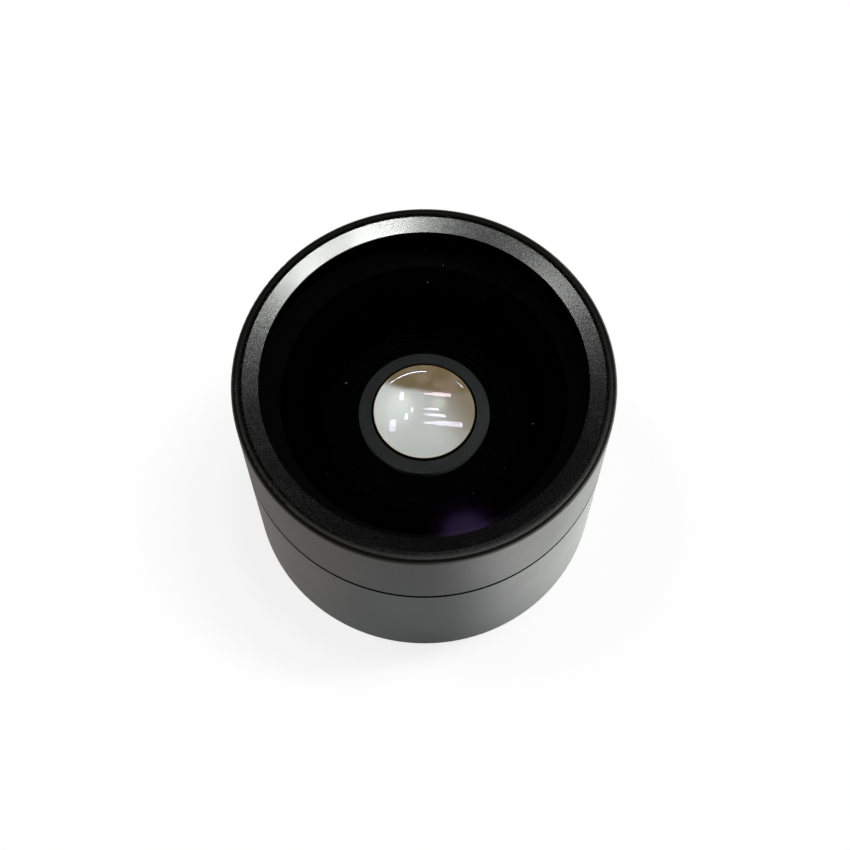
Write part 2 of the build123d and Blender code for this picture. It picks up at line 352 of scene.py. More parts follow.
@dataclass(frozen=True)
class RimBlack(AnodisedBlack):
    """The front section's finish: the same satin, a smoother land and a bright turned cone inside it."""

    land_roughness: float = 0.15
    land_base: Colour = (0.002, 0.002, 0.0015)
    land_worn: Colour = (0.09, 0.088, 0.08)
    land_fade_mm: tuple[float, float] = (19.05, 19.4)
    cone_inner_mm: float = 17.12
    cone_outer_mm: float = 18.83
    cone_low_mm: float = 31.56
    cone_edge_mm: float = 0.03
    cone_roughness: float = 0.235
    cone_pale: Colour = (0.262, 0.268, 0.262)
    cone_dark: Colour = (0.175, 0.178, 0.175)
    cone_spread: float = 0.06
    speck_mm: float = 0.11

    def build(self) -> bpy.types.Material:
        """Makes the material.

        The land and the cone are told apart by their height and their distance from the axis. The
        land's finish fades out before the rounded edge of the rim.

        Returns:
            Black satin on the wall, a finer black land with worn flecks, and a grained metal cone.
        """
        material, g = new_material(self.name)
        colour, rough, grain = self.layers(g)
        _, _, height = g.axes(g.coordinates())
        radius = g.radius()
        top = height > self.cone_low_mm * MM
        edge, outer = self.cone_edge_mm * MM, self.cone_outer_mm * MM
        outside = radius.step(outer - edge, outer + edge)
        inside = radius > self.cone_inner_mm * MM
        cone = top * inside * (1.0 - outside)
        fade_start, fade_end = (limit * MM for limit in self.land_fade_mm)
        land = top * outside * (1.0 - radius.step(fade_start, fade_end))
        speck = g.noise(self.speck_mm, detail=0.0).step(0.38, 0.62)
        wear = g.noise(self.speck_mm * 1.3, detail=1.0).step(0.6, 0.7)
        metal = g.mix(speck, self.cone_dark, self.cone_pale)
        colour = g.mix(land, colour, g.mix(wear, self.land_base, self.land_worn))
        colour = g.mix(cone, colour, metal)
        rough = rough + land * (self.land_roughness - self.roughness)
        cone_change = self.cone_roughness - self.roughness + (speck - 0.5) * self.cone_spread
        rough = rough + cone * cone_change
        bump = g.bump(grain * (1.0 - cone), self.grain_depth_mm)
        inputs = {
            "Base Color": colour,
            "Metallic": cone,
            "Roughness": rough,
            "IOR": self.ior,
            "Normal": bump,
        }
        g.finish(self.paint_seam_shadow(g, g.node("ShaderNodeBsdfPrincipled", {}, inputs)))
        return material


@dataclass(frozen=True)
class MattPaint:
    """Flat black optical paint that swallows stray light."""

    name: str
    base: Colour = (0.0007, 0.0007, 0.0007)
    roughness: float = 0.9
    powder_mm: float = 0.3
    powder_lift: float = 1.6

    def build(self) -> bpy.types.Material:
        """Makes the material.

        Returns:
            A dull black with a faint powdery change of tone.
        """
        material, g = new_material(self.name)
        powder = g.noise(self.powder_mm, detail=3.0)
        lifted = tuple(self.powder_lift * c for c in self.base)
        colour = g.mix(powder.step(0.4, 0.8), self.base, lifted)
        inputs = {"Base Color": colour, "Roughness": self.roughness, "Specular IOR Level": 0.04}
        g.finish(g.node("ShaderNodeBsdfPrincipled", {}, inputs))
        return material


@dataclass(frozen=True)
class TurnedBrass:
    """Bright brass as it leaves the lathe, with fine rings round the axis."""

    name: str
    base: Colour = (0.30, 0.215, 0.12)
    dark: Colour = (0.18, 0.125, 0.07)
    roughness: float = 0.42
    ring_mm: float = 0.08
    ring_spread: float = 0.05
    stain_mm: float = 2.0

    def build(self) -> bpy.types.Material:
        """Makes the material.

        Returns:
            Brass with tool rings along the axis and slow stains.
        """
        material, g = new_material(self.name)
        _, _, height = g.axes(g.coordinates())
        rings = height.wave(self.ring_mm * MM)
        stain = g.noise(self.stain_mm, detail=3.0)
        colour = g.mix(stain.step(0.35, 0.7), self.dark, self.base)
        rough = self.roughness + rings * self.ring_spread
        inputs = {"Base Color": colour, "Roughness": rough, "Metallic": 1.0}
        g.finish(g.node("ShaderNodeBsdfPrincipled", {}, inputs))
        return material


@dataclass(frozen=True)
class SoftRubber:
    """Black rubber of the gaskets and the washer."""

    name: str
    base: Colour = (0.002, 0.002, 0.002)
    roughness: float = 0.8
    pebble_mm: float = 0.15
    pebble_lift: float = 1.8
    pebble_depth_mm: float = 0.004

    def build(self) -> bpy.types.Material:
        """Makes the material.

        Returns:
            A dull black with a fine pebbled surface.
        """
        material, g = new_material(self.name)
        pebble = g.noise(self.pebble_mm, detail=2.0)
        relief = {"Strength": 0.5, "Distance": self.pebble_depth_mm * MM, "Height": pebble}
        lifted = tuple(self.pebble_lift * c for c in self.base)
        inputs = {
            "Base Color": g.mix(pebble.step(0.5, 0.8), self.base, lifted),
            "Roughness": self.roughness,
            "Specular IOR Level": 0.1,
            "Normal": g.node("ShaderNodeBump", {}, relief),
        }
        g.finish(g.node("ShaderNodeBsdfPrincipled", {}, inputs))
        return material


@dataclass(frozen=True)
class Lint:
    """Pale house dust."""

    name: str
    base: Colour = (0.55, 0.54, 0.5)
    dark: Colour = (0.22, 0.21, 0.2)

    def build(self) -> bpy.types.Material:
        """Makes the material.

        Returns:
            A dull pale grey that changes from flake to flake.
        """
        material, g = new_material(self.name)
        colour = g.mix(g.noise(0.6, detail=2.0).step(0.35, 0.6), self.dark, self.base)
        inputs = {"Base Color": colour, "Roughness": 0.9, "Specular IOR Level": 0.1}
        g.finish(g.node("ShaderNodeBsdfPrincipled", {}, inputs))
        return material


@dataclass(frozen=True)
class PaintedHighlightEdge:
    """A fine polished edge, partly clear, which mirrors its lamps and paints a lilac highlight."""

    name: str
    # painted highlight: the lilac of the highlight that the bead stands for
    base: Colour = (0.92, 0.84, 1.0)
    roughness: float = 0.24
    share: float = 0.75

    def build(self) -> bpy.types.Material:
        """Makes the material.

        Returns:
            A bright smooth edge with slight changes of polish, in the lilac of the painted highlight.
        """
        material, g = new_material(self.name)
        rough = self.roughness + g.noise(0.4, detail=2.0) * 0.08
        inputs = {"Base Color": self.base, "Roughness": rough, "Metallic": 1.0}
        polish = g.node("ShaderNodeBsdfPrincipled", {}, inputs)
        clear = g.node("ShaderNodeBsdfTransparent", {}, {})
        g.finish(g.node("ShaderNodeMixShader", {}, {0: self.share, 1: clear, 2: polish}))
        return material


@dataclass(frozen=True)
class CoatedGlass:
    """Optical glass with an antireflection coating and a blackened ground edge.

    The coating's tint shows only in what it mirrors. A face met from outside and one met from inside
    mirror different shares, because the front glass carries a finer coating on its domed side. Lamps
    light the cell through the glass, which is clear to shadow rays. Paint covers what lies beyond the
    clear radius, and a rear land from its inner radius out, below its height. Beyond the fringe radius
    the edge's lateral colour tints what is seen through.
    """

    name: str
    ior: float
    tint: Colour = (0.993, 1.0, 0.995)
    coating: Colour = (0.85, 0.74, 1.0)
    outer_coating: Colour = (0.85, 0.74, 1.0)
    outer_share: float = 0.1
    inner_share: float = 0.1
    outer_roughness: float = 0.0
    clear_mm: float = 20.0
    fringe_mm: float = 20.0
    fringe: Colour = (0.97, 0.84, 0.62)
    paint: Colour = (0.001, 0.001, 0.001)
    land_mm: tuple[float, float] = (20.0, 0.0)

    def build(self) -> bpy.types.Material:
        """Makes the material.

        Returns:
            Glass that refracts, mirrors a little and is painted black beyond its clear radius.
        """
        material, g = new_material(self.name)
        inside = g.value("ShaderNodeNewGeometry", {}, {}, "Backfacing")
        share = self.outer_share + inside * (self.inner_share - self.outer_share)
        bend = {"IOR": self.ior, "Roughness": 0.0}
        refraction = g.node("ShaderNodeBsdfRefraction", {}, {"Color": self.tint, **bend})
        radius = g.radius()
        if self.fringe_mm < self.clear_mm:
            tinted = g.node("ShaderNodeBsdfRefraction", {}, {"Color": self.fringe, **bend})
            beyond = radius > self.fringe_mm * MM
            refraction = g.node("ShaderNodeMixShader", {}, {0: beyond, 1: refraction, 2: tinted})
        rough: Number = 0.0
        if self.outer_roughness:
            rough = self.outer_roughness * (1.0 - inside)
        outer = g.node("ShaderNodeBsdfGlossy", {}, {"Color": self.outer_coating, "Roughness": rough})
        inner = g.node("ShaderNodeBsdfGlossy", {}, {"Color": self.coating, "Roughness": 0.0})
        mirror = g.node("ShaderNodeMixShader", {}, {0: inside, 1: outer, 2: inner})
        polished = g.node("ShaderNodeMixShader", {}, {0: share, 1: refraction, 2: mirror})
        clear = g.node("ShaderNodeBsdfTransparent", {}, {"Color": self.tint})
        shadow = g.path("Is Shadow Ray")
        glass = g.node("ShaderNodeMixShader", {}, {0: shadow, 1: polished, 2: clear})
        inputs = {"Base Color": self.paint, "Roughness": 0.9, "Specular IOR Level": 0.0}
        paint = g.node("ShaderNodeBsdfPrincipled", {}, inputs)
        _, _, height = g.axes(g.coordinates())
        land = (radius > self.land_mm[0] * MM) * (1.0 - (height > self.land_mm[1] * MM))
        edge = (radius > self.clear_mm * MM) + land
        g.finish(g.node("ShaderNodeMixShader", {}, {0: edge, 1: glass, 2: paint}))
        return material


def build_mesh(
    name: str, vertices: np.ndarray, *faces: np.ndarray, smooth: bool = True
) -> bpy.types.Object:
    """Puts whole arrays of vertices and faces into a new object at the origin.

    Args:
        name: the object's name.
        vertices: an array of n by 3, in metres.
        faces: arrays of m by 3 or m by 4 vertex numbers, anticlockwise seen from outside.
        smooth: whether the faces are shaded smooth.

    Returns:
        The new object, linked to the scene.
    """
    mesh = bpy.data.meshes.new(name)
    corners = np.concatenate([f.ravel() for f in faces]).astype(np.int32)
    sizes = np.concatenate([np.full(len(f), f.shape[1]) for f in faces])
    mesh.vertices.add(len(vertices))
    mesh.vertices.foreach_set("co", vertices.astype(np.float32).ravel())
    mesh.loops.add(len(corners))
    mesh.loops.foreach_set("vertex_index", corners)
    mesh.polygons.add(len(sizes))
    mesh.polygons.foreach_set("loop_start", (np.cumsum(sizes) - sizes).astype(np.int32))
    mesh.polygons.foreach_set("use_smooth", np.full(len(sizes), smooth))
    mesh.update(calc_edges=True)
    mesh.validate()
    piece = bpy.data.objects.new(name, mesh)
    bpy.context.scene.collection.objects.link(piece)
    return piece


def tube_quads(rows: int, columns: int) -> np.ndarray:
    """Faces between closed rings of vertices, numbered ring by ring.

    Args:
        rows: how many rings there are.
        columns: how many vertices a ring has.

    Returns:
        An array of m by 4 vertex numbers.
    """
    r, c = [a.ravel() for a in np.meshgrid(np.arange(rows - 1), np.arange(columns), indexing="ij")]
    row, next_row, next_c = r * columns, (r + 1) * columns, (c + 1) % columns
    return np.stack([row + c, next_row + c, next_row + next_c, row + next_c], 1)


def mark_sharp(piece: bpy.types.Object, rows: list[int], columns: int) -> None:
    """Marks whole rings of a turned piece as sharp edges.

    Args:
        piece: the turned piece, its vertices numbered row by row.
        rows: the rows to mark.
        columns: how many vertices a row has.
    """
    mesh = piece.data
    ends = np.zeros(2 * len(mesh.edges), np.int32)
    mesh.edges.foreach_get("vertices", ends)
    row = ends.reshape(-1, 2) // columns
    sharp = (row[:, 0] == row[:, 1]) & np.isin(row[:, 0], rows)
    mesh.attributes.new("sharp_edge", "BOOLEAN", "EDGE").data.foreach_set("value", sharp)


def dress(piece: bpy.types.Object, material: bpy.types.Material) -> None:
    """Gives a piece one material in every slot."""
    if piece.data.materials:
        for i in range(len(piece.data.materials)):
            piece.data.materials[i] = material
    else:
        piece.data.materials.append(material)


@dataclass(frozen=True)
class Surface:
    """A polished spherical surface, in millimetres: a positive radius has its centre below."""

    vertex: float
    radius: float
    clear: float

    def height(self, distance: Any) -> Any:
        """Height at a distance from the axis: the vertex less the sphere's sag."""
        return self.vertex - self.radius + np.sign(self.radius) * np.sqrt(self.radius**2 - distance**2)


@dataclass(frozen=True)
class Lens:
    """A polished lens, turned finely enough for clean highlights, in place of its coarser solid."""

    node: str
    name: str
    front: Surface
    rear: Surface
    edge: float
    glass: CoatedGlass
    front_bevel: float = 0.0
    rear_bevel: float = 0.0
    rows: int = 36
    columns: int = 224

    def build(self) -> bpy.types.Object:
        """Turns the lens's half section about the axis.

        The section runs from the front pole out along the sphere to the clear radius, over the bevel
        or the land to the edge, down to the rear land and back along the rear sphere to the rear pole.

        Returns:
            The lens, which stands for its node.
        """
        share = np.linspace(0.0, 1.0, self.rows + 1)[1:]
        front, rear = share * self.front.clear, share[::-1] * self.rear.clear
        top, low = self.front.height(self.front.clear), self.rear.height(self.rear.clear)
        rim = [(self.edge, top - self.front_bevel), (self.edge, low + self.rear_bevel)]
        if self.front_bevel < self.edge - self.front.clear:
            rim.insert(0, (self.edge - self.front_bevel, top))
        if self.rear_bevel:
            rim.append((self.edge - self.rear_bevel, low))
        section = np.concatenate(
            [
                np.stack([front, self.front.height(front)], 1),
                np.array(rim),
                np.stack([rear, self.rear.height(rear)], 1),
            ]
        )
        section = section[np.concatenate([[True], np.abs(np.diff(section, axis=0)).sum(1) > 1e-5])]
        turn = np.linspace(0.0, 2 * np.pi, self.columns, endpoint=False)
        radius, height = section[:, :1], section[:, 1:]
        points = np.stack([radius * np.cos(turn), radius * np.sin(turn), height + 0 * turn], -1)
        points = points.reshape(-1, 3)
        poles = np.array([[0.0, 0.0, self.front.vertex], [0.0, 0.0, self.rear.vertex]])
        count, c = len(points), np.arange(self.columns)
        next_c = (c + 1) % self.columns
        last = count - self.columns
        front_fan = np.stack([np.full_like(c, count), c, next_c], 1)
        rear_fan = np.stack([last + c, np.full_like(c, count + 1), last + next_c], 1)
        quads = tube_quads(len(section), self.columns)
        vertices = np.concatenate([points, poles]) * MM
        piece = build_mesh(self.name, vertices, quads, front_fan, rear_fan)
        corners = list(range(self.rows - 1, len(section) - self.rows + 1))
        mark_sharp(piece, corners, self.columns)
        dress(piece, self.glass.build())
        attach(piece, "root")
        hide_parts(self.node)
        return piece


@dataclass
class Barrel:
    """The two outer sections, the joint's gasket and the thread in the rear socket."""

    thread_root_mm: float = 17.0
    thread_crest_mm: float = 16.73
    thread_pitch_mm: float = 0.5
    thread_low_mm: float = 0.42
    thread_high_mm: float = 4.34
    thread_points: int = 128
    thread_foot: float = 0.98
    thread_flat: float = 0.2
    thread_bite: float = 0.03
    thread_run_in: float = 0.5
    front_finish: RimBlack = field(default_factory=lambda: RimBlack("satin_black_front"))
    rear_finish: AnodisedBlack = field(
        default_factory=lambda: AnodisedBlack("satin_black_rear", roughness=0.3)
    )
    gasket_finish: SoftRubber = field(default_factory=lambda: SoftRubber("black_rubber"))

    def build_thread(self) -> bpy.types.Object:
        """Builds the female thread as one closed helical ridge on the socket's wall.

        The ridge's axis climbs one pitch a turn. Its section is a trapezium, whose foot and flat are
        shares of half the pitch and whose foot bites a little into the wall. Its height is scaled by a
        run-in from 0 to 1 over the first and last half turn, so that both ends fade into the wall.

        Returns:
            The thread.
        """
        turns = (self.thread_high_mm - self.thread_low_mm) / self.thread_pitch_mm - 1.0
        along = np.linspace(0.0, turns, int(turns * self.thread_points) + 1)
        run_in = np.clip(np.minimum(along, turns - along) / self.thread_run_in, 0.02, 1.0)[:, None]
        half = self.thread_pitch_mm / 2
        foot, flat = self.thread_foot * half, self.thread_flat * half
        offset = np.array([-foot, -flat, flat, foot])[None, :]
        depth = np.array([-self.thread_bite, 1.0, 1.0, -self.thread_bite])[None, :]
        reach = self.thread_root_mm - self.thread_crest_mm
        radius = self.thread_root_mm - depth * reach * np.where(depth > 0, run_in, 1.0)
        height = self.thread_low_mm + half + along[:, None] * self.thread_pitch_mm + offset
        angle = 2 * np.pi * along[:, None] + 0 * offset
        points = np.stack([radius * np.cos(angle), radius * np.sin(angle), height], -1).reshape(-1, 3)
        count = len(along)
        last = 4 * count - 1
        ends = np.array([[0, 1, 2, 3], [last, last - 1, last - 2, last - 3]])
        faces = np.concatenate([tube_quads(count, 4)[:, ::-1], ends])
        return build_mesh("socket_thread", points * MM, faces, smooth=False)

    def build(self) -> list[bpy.types.Object]:
        """Dresses the sections and adds the thread.

        Returns:
            The pieces of this sub-assembly.
        """
        nodes = frame["nodes"]
        front, rear = self.front_finish.build(), self.rear_finish.build()
        dress(nodes["front_barrel"], front)
        dress(nodes["rear_barrel"], rear)
        dress(nodes["joint_gasket"], self.gasket_finish.build())
        thread = self.build_thread()
        dress(thread, rear)
        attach(thread, "root")
        return [nodes["front_barrel"], nodes["rear_barrel"], nodes["joint_gasket"], thread]


@dataclass
class FrontGroup:
    """The front glass, its gasket and ring, the stepped baffle and the dust on the glass.

    Each of the dust's main flakes has its place across the axis and its size, in millimetres; fainter
    ones are strewn.
    """

    lens: Lens = field(
        default_factory=lambda: Lens(
            "front_lens",
            "front_glass",
            Surface(32.400, 140.0, 17.5),
            Surface(28.900, 18.0, 12.6),
            17.75,
            CoatedGlass(
                "front_glass",
                ior=1.62,
                coating=(1.0, 0.8, 0.88),
                outer_coating=(0.54, 0.32, 1.0),
                outer_share=0.0014,
                inner_share=0.07,
                outer_roughness=0.085,
                clear_mm=17.5,
                land_mm=(12.58, 23.78),
            ),
            front_bevel=0.25,
            rear_bevel=0.25,
            rows=64,
        )
    )
    baffle_finish: MattPaint = field(default_factory=lambda: MattPaint("baffle_paint"))
    ring_finish: AnodisedBlack = field(
        default_factory=lambda: AnodisedBlack(
            "inner_ring_black", base=(0.001, 0.001, 0.001), worn=(0.002, 0.002, 0.002), ior=1.15
        )
    )
    gasket_finish: SoftRubber = field(default_factory=lambda: SoftRubber("glass_gasket_rubber"))
    dust_finish: Lint = field(default_factory=lambda: Lint("pale_lint"))
    flakes: tuple[tuple[float, float, float], ...] = (
        (0.42, 11.0, 0.085),
        (-8.04, -0.59, 0.12),
        (2.1, 13.1, 0.04),
        (11.1, -5.1, 0.085),
        (8.14, -9.88, 0.035),
        (4.86, -12.52, 0.03),
        (5.06, -13.14, 0.03),
    )
    strewn: int = 26
    strewn_seed: int = 7
    strewn_reach_mm: float = 16.0
    strewn_size_mm: tuple[float, float] = (0.012, 0.02)
    flake_stretch: tuple[float, float] = (1.25, 0.8)
    flake_lobe: float = 0.35
    flake_flatness: float = 0.22

    def build_dust(self) -> bpy.types.Object:
        """Lays the dust on the dome.

        Each flake is a flattened ball of 5 rings of 8 points, longer than wide, whose radius is stretched
        by a wave of its own round its middle. Its foot is on the dome, whose height is the vertex less
        the sphere's sag.

        Returns:
            All the flakes as one piece.
        """
        draw = np.random.default_rng(self.strewn_seed)
        far = self.strewn_reach_mm * np.sqrt(draw.uniform(0.1, 1.0, self.strewn))
        turn = draw.uniform(0.0, 2 * np.pi, self.strewn)
        sizes = draw.uniform(*self.strewn_size_mm, self.strewn)
        faint = np.stack([far * np.cos(turn), far * np.sin(turn), sizes], 1)
        flakes = np.concatenate([np.array(self.flakes), faint])
        count, rows, columns = len(flakes), 5, 8
        rise = np.linspace(-1.45, 1.45, rows)[None, :, None]
        round_ = np.linspace(0.0, 2 * np.pi, columns, endpoint=False)[None, None, :]
        lobes = draw.integers(2, 4, count)[:, None, None]
        shift = draw.uniform(0.0, 2 * np.pi, count)[:, None, None]
        size = flakes[:, 2][:, None, None]
        spread = size * np.cos(rise) * (1.0 + self.flake_lobe * np.sin(lobes * round_ + shift))
        x = flakes[:, 0][:, None, None] + spread * np.cos(round_) * self.flake_stretch[0]
        y = flakes[:, 1][:, None, None] + spread * np.sin(round_) * self.flake_stretch[1]
        foot = self.lens.front.height(np.hypot(x, y))
        z = foot + self.flake_flatness * size * (1.0 + np.sin(rise)) + 0 * round_
        points = np.stack([x, y, z], -1).reshape(-1, 3) * MM
        quads = tube_quads(rows, columns)[:, ::-1]
        caps = np.array([[0, 1, 2, 3], [0, 3, 4, 7], [4, 5, 6, 7]])
        caps = np.concatenate([caps[:, ::-1], caps + (rows - 1) * columns])
        start = (np.arange(count) * rows * columns)[:, None, None]
        faces = (start + np.concatenate([quads, caps])[None]).reshape(-1, 4)
        return build_mesh("glass_dust", points, faces)

    def build(self) -> list[bpy.types.Object]:
        """Dresses the group.

        Returns:
            The pieces of this sub-assembly.
        """
        nodes = frame["nodes"]
        glass = self.lens.build()
        dust = self.build_dust()
        dress(dust, self.dust_finish.build())
        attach(dust, "root")
        dress(nodes["light_baffle"], self.baffle_finish.build())
        dress(nodes["front_retaining_ring"], self.ring_finish.build())
        dress(nodes["front_lens_gasket"], self.gasket_finish.build())
        rings = [nodes[n] for n in ("light_baffle", "front_retaining_ring", "front_lens_gasket")]
        return [glass, dust, *rings]


@dataclass
class LensCell:
    """The inner barrel with the rear lens group, its spacers and its rings.

    The bead on the flint lies only along the arcs where a highlight shows, so it is partly a painted
    highlight and partly lit for real by its own lamps. Each of the bead's arcs has its start and end in
    degrees, and the shares of it that thin out at its start and at its end.
    """

    cell_finish: AnodisedBlack = field(
        default_factory=lambda: AnodisedBlack("cell_black", base=(0.008, 0.008, 0.008), roughness=0.45)
    )
    nose_finish: AnodisedBlack = field(
        default_factory=lambda: AnodisedBlack(
            "nose_ring_grey",
            base=(0.015, 0.017, 0.0182),
            worn=(0.027, 0.03, 0.033),
            roughness=0.5,
            ior=1.36,
        )
    )
    stop_finish: MattPaint = field(default_factory=lambda: MattPaint("stop_paint"))
    brass_finish: TurnedBrass = field(default_factory=lambda: TurnedBrass("turned_brass"))
    washer_finish: SoftRubber = field(default_factory=lambda: SoftRubber("washer_rubber"))
    bead_radius: float = 6.38
    bead_height: float = 12.87
    bead_size: float = 0.11
    bead_steps: int = 72
    bead_points: int = 12
    highlight_bead_arcs: tuple[tuple[float, float, float, float], ...] = (
        (86.5, 136.0, 0.03, 0.6),
        (40.0, 54.0, 0.4, 0.4),
    )
    highlight_bead_finish: PaintedHighlightEdge = field(default_factory=lambda: PaintedHighlightEdge("painted_highlight_edge"))

    def lenses(self) -> tuple[Lens, ...]:
        """The four inner glasses, from the nose to the rear."""
        return (
            Lens(
                "second_lens",
                "meniscus",
                Surface(22.405, 12.0, 6.8),
                Surface(20.105, 15.0, 6.8),
                8.0,
                CoatedGlass("meniscus_glass", ior=1.67, clear_mm=6.82, fringe_mm=6.72),
                front_bevel=1.2,
            ),
            Lens(
                "doublet_crown",
                "crown",
                Surface(19.049, 32.3, 6.8),
                Surface(15.449, -18.0, 8.0),
                8.0,
                CoatedGlass("crown_glass", ior=1.68, inner_share=0.0),
            ),
            Lens(
                "doublet_flint",
                "flint",
                Surface(15.439, -18.0, 8.0),
                Surface(14.039, 20.0, 7.6),
                8.0,
                CoatedGlass("flint_glass", ior=1.60, outer_share=0.0, inner_share=0.02),
            ),
            Lens(
                "rear_lens",
                "rear_glass",
                Surface(10.398, 30.0, 11.0),
                Surface(5.798, -38.2, 11.0),
                11.4,
                CoatedGlass("rear_glass", ior=1.62, outer_share=0.01, inner_share=0.01),
            ),
        )

    def build_highlight_bead(self) -> bpy.types.Object:
        """Sweeps the fine bright bead on the flint's rear face, only along the arcs where it paints a
        highlight.

        Each arc's section is a circle of points, centre plus size times cosine and sine. The size is the
        bead's times the square root of the way from either end over the share of the arc in which that
        end thins out, and never above the bead's.

        Returns:
            The bead's arcs as one piece.
        """
        around, count = self.bead_points, self.bead_steps * self.bead_points
        turn = np.linspace(0.0, 2 * np.pi, around, endpoint=False)[None, :]
        share = np.linspace(0.0, 1.0, self.bead_steps)[:, None]
        points, faces = [], []
        quads = tube_quads(self.bead_steps, around)
        first = np.arange(1, around - 1)
        fan = np.stack([0 * first, first, first + 1], 1)
        caps = np.concatenate([fan, fan[:, ::-1] + count - around])
        for i, (start, end, thin_start, thin_end) in enumerate(self.highlight_bead_arcs):
            along = np.radians(start + (end - start) * share)
            way = np.minimum(share / thin_start, (1.0 - share) / thin_end)
            size = self.bead_size * np.sqrt(np.clip(way, 0.02, 1.0))
            radius = self.bead_radius + size * np.cos(turn)
            height = self.bead_height + size * np.sin(turn)
            arc = np.stack([radius * np.cos(along), radius * np.sin(along), height], -1)
            points.append(arc.reshape(-1, 3))
            faces += [quads + i * count, caps + i * count]
        return build_mesh("doublet_highlight_bead", np.concatenate(points) * MM, *faces)

    def build(self) -> list[bpy.types.Object]:
        """Dresses the group.

        Returns:
            The pieces of this sub-assembly.
        """
        nodes = frame["nodes"]
        glasses = [lens.build() for lens in self.lenses()]
        # painted highlight: a bead laid only where a highlight shows, lit by lamps that light nothing
        # else
        bead = self.build_highlight_bead()
        dress(bead, self.highlight_bead_finish.build())
        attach(bead, "root")
        cell, brass = self.cell_finish.build(), self.brass_finish.build()
        for name in ("lens_cell", "rear_retaining_ring", "cell_lock_ring"):
            dress(nodes[name], cell)
        for name in ("air_gap_shim", "glare_spacer", "focus_shim"):
            dress(nodes[name], brass)
        dress(nodes["nose_ring"], self.nose_finish.build())
        dress(nodes["glare_stop"], self.stop_finish.build())
        dress(nodes["rear_lens_washer"], self.washer_finish.build())
        return [*glasses, bead, nodes["lens_cell"], nodes["nose_ring"], nodes["glare_spacer"]]


@dataclass(frozen=True)
class Lamp:
    """One lamp that hangs over the part and faces it.

    Its place is the slope (x, y) of its direction from straight up, and its width and depth are in the
    same slopes, so a lamp further off is also larger. A lamp that spares the glass leaves the front
    glass dark, and one that is only for a piece lights nothing else.
    """

    name: str
    slope: tuple[float, float]
    size: tuple[float, float]
    strength: float
    role: Role = Role.LIGHT
    shape: LampShape = LampShape.RECTANGLE
    spares_glass: bool = True
    only: str = ""
    distance: float = 0.8

    def build(self, aim: Vector) -> bpy.types.Object:
        """Hangs the lamp.

        Args:
            aim: the point that it faces.

        Returns:
            The lamp.
        """
        data = bpy.data.lights.new(self.name, "AREA")
        data.shape = self.shape.value
        data.size, data.size_y = self.size[0] * self.distance, self.size[1] * self.distance
        share = math.pi / 4 if self.shape is LampShape.ELLIPSE else 1.0
        data.energy = self.strength * math.pi * data.size * data.size_y * share
        lamp = bpy.data.objects.new(self.name, data)
        lamp.location = aim + Vector((self.slope[0], self.slope[1], 1.0)) * self.distance
        lamp.visible_camera = False
        if self.role is Role.GHOST:
            lamp.visible_diffuse = lamp.visible_glossy = False
        else:
            lamp.visible_transmission = False
            if self.only or self.spares_glass:
                linked = bpy.data.collections.new(self.name + "_links")
                linked.objects.link(bpy.data.objects[self.only or "front_glass"])
                link = linked.collection_objects[0].light_linking
                link.link_state = "INCLUDE" if self.only else "EXCLUDE"
                lamp.light_linking.receiver_collection = linked
            if self.only:
                data.cycles.use_multiple_importance_sampling = False
        bpy.context.scene.collection.objects.link(lamp)
        return lamp


